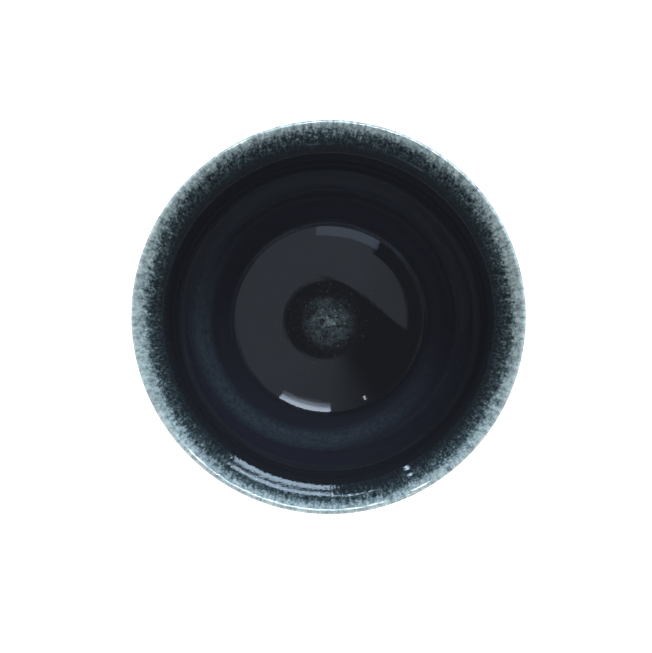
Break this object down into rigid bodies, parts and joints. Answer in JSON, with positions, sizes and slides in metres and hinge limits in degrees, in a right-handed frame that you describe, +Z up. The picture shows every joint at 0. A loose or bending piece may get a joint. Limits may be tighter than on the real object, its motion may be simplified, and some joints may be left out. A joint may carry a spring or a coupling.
{
  "type": "sake cup",
  "caption": "Small footed guinomi sake cup: a wide thrown bowl with a thin lip, under dark glaze that turns pale at the rim.",
  "frame": {"origin": "on the table, under the middle of the foot ring", "axes": "+Z up along the axis the cup was thrown on, towards the mouth; the cup is round, so X and Y are any two level directions"},
  "size_m": [0.07, 0.07, 0.035],
  "materials": {
    "fired_clay": "matt bare stoneware",
    "dark_glaze": "glossy indigo-black glaze",
    "pale_rim_glaze": "glossy mottled blue-grey glaze",
    "pale_well_glaze": "glossy speckled blue-grey glaze"
  },
  "bodies": {
    "root": {"clay_body": "fired_clay", "foot_ring": "fired_clay", "liner_glaze": "dark_glaze", "well_glaze": "pale_well_glaze", "rim_glaze": "pale_rim_glaze", "outer_glaze": "dark_glaze"}
  },
  "joints": []
}
